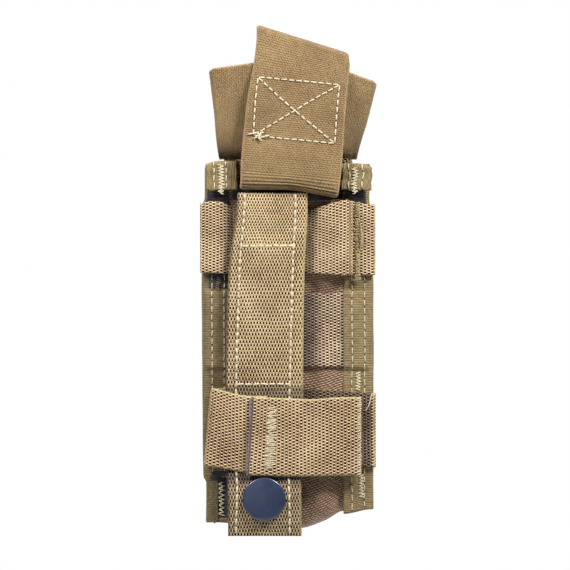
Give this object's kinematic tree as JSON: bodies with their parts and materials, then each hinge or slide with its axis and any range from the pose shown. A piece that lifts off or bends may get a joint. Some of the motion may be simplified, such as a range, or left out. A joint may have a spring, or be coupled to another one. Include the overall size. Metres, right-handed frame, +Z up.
{
  "type": "flashlight pouch",
  "caption": "Upright nylon flashlight pouch for belt or vest webbing, with an elastic hood over the mouth and a webbing mounting strap closed by a snap at its tail.",
  "frame": {"origin": "on the outer face of the mounting strap, on the centre plane of the pouch, level with the gap between the upper and middle webbing rows", "axes": "+Z up along the pouch as it is worn, -Y out of the back of the pouch towards the wearer, +X to the right seen from the back"},
  "size_m": [0.0613, 0.037, 0.176],
  "materials": {
    "pack_cloth": "matte plain-weave coated nylon, coyote tan",
    "binding_tape": "matte ribbed binding tape",
    "row_webbing": "matte woven nylon webbing",
    "strap_webbing": "matte woven nylon webbing",
    "elastic": "matte ribbed woven elastic",
    "thread": "bonded nylon thread, slight sheen",
    "stiffener": "matte polyethylene strip",
    "snap_oxide": "glossy blue-black enamel on brass",
    "snap_brass": "darkened brass",
    "snap_spring_steel": "bright spring wire"
  },
  "bodies": {
    "pouch": {"back_panel": "pack_cloth", "front_shell": "pack_cloth", "mouth_binding": "binding_tape", "side_binding_right": "binding_tape", "side_binding_left": "binding_tape", "upper_webbing": "row_webbing", "middle_webbing": "row_webbing", "lower_webbing_loop": "row_webbing", "lower_webbing_flap": "row_webbing", "strap_outer": "strap_webbing", "strap_inner": "strap_webbing", "strap_stiffener": "stiffener", "strap_stitching": "thread", "snap_stud": "snap_brass", "snap_post": "snap_brass", "stud_patch": "row_webbing", "hood_strap_root_back": "elastic", "hood_strap_root_front": "elastic", "hood_side_root_right": "elastic", "hood_side_root_left": "elastic", "upper_bartack_right": "thread", "upper_bartack_left": "thread", "lower_bartack": "thread", "flap_bartack": "thread", "hem_bartacks": "thread", "binding_stitching_right": "thread", "binding_stitching_left": "thread"},
    "strap_tail": {"tail_inner": "strap_webbing", "tail_outer": "strap_webbing", "tail_stitching": "thread", "snap_cap": "snap_oxide", "snap_socket": "snap_brass", "snap_spring": "snap_spring_steel"},
    "hood": {"hood_strap": "elastic", "hood_side_band": "elastic", "hood_box_stitch": "thread"}
  },
  "joints": [
    {"name": "strap_tail_hinge", "type": "hinge", "parent": "pouch", "child": "strap_tail", "pos_m": [-0.008, -0.0022, -0.0653], "axis": [-1, 0, 0], "range_deg": [0, 90], "stiffness_Nm_per_rad": 0.004, "springref_deg": -28.65},
    {"name": "hood_flip", "type": "hinge", "parent": "pouch", "child": "hood", "pos_m": [0, -0.001, 0.0441], "axis": [1, 0, 0], "range_deg": [-15, 60], "stiffness_Nm_per_rad": 0.05, "deforming": ["hood_side_band"]}
  ]
}
